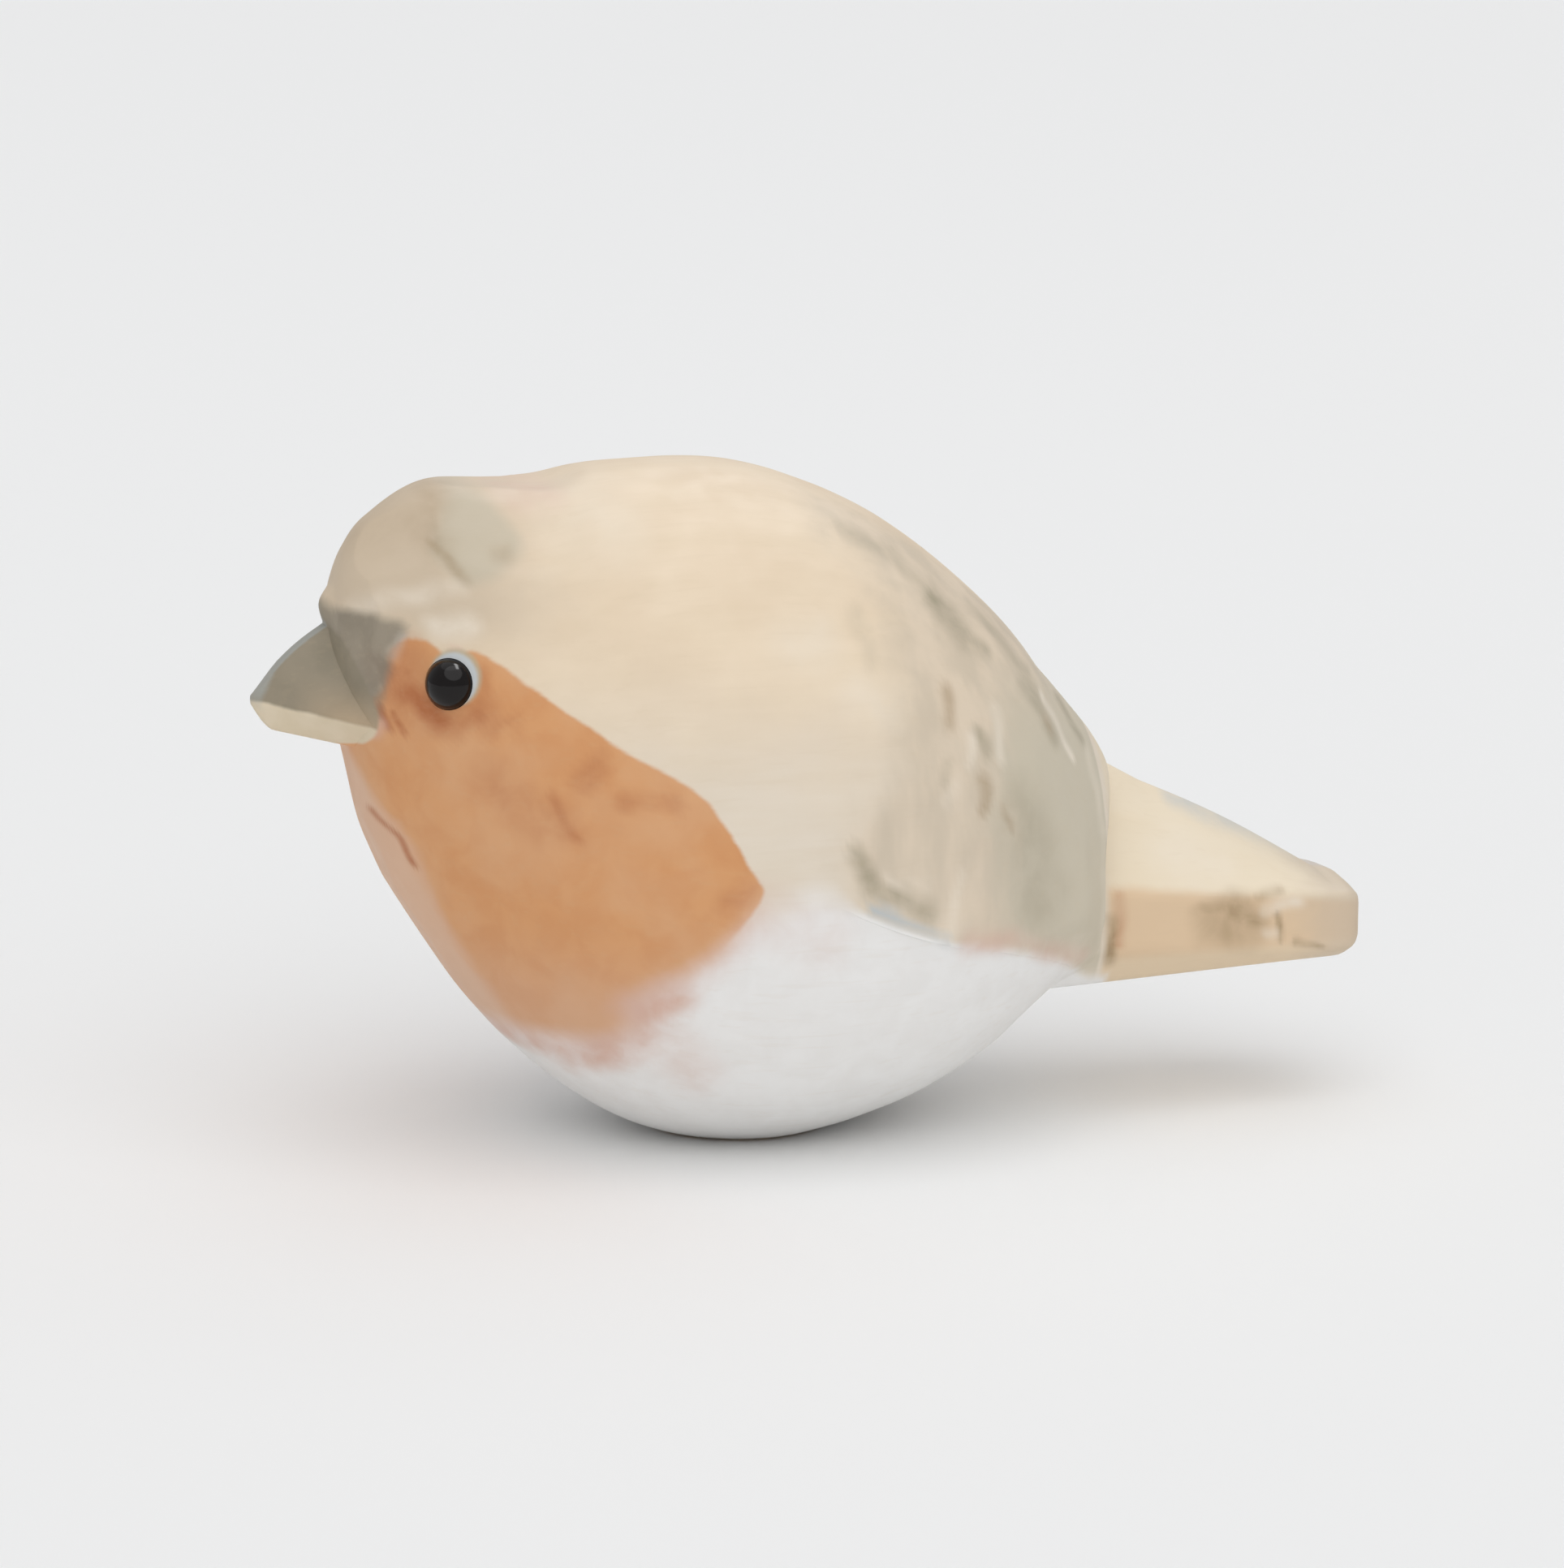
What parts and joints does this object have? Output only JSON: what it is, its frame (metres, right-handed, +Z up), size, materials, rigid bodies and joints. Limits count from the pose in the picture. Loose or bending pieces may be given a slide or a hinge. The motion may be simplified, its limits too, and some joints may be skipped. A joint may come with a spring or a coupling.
{
  "type": "wooden bird figurine",
  "caption": "Small painted robin carved from one block of soft wood, with inset bead eyes, resting on a flat foot.",
  "frame": {"origin": "middle of the flat foot, on the surface that the bird stands on", "axes": "+Z up, -X the way the bird looks, +X towards the end of the tail, -Y the bird's left side"},
  "size_m": [0.07, 0.0352, 0.0419],
  "materials": {
    "painted_wood": "satin",
    "black_bead": "gloss"
  },
  "bodies": {
    "root": {"carved_bird": "painted_wood", "left_eye": "black_bead", "right_eye": "black_bead"}
  },
  "joints": []
}
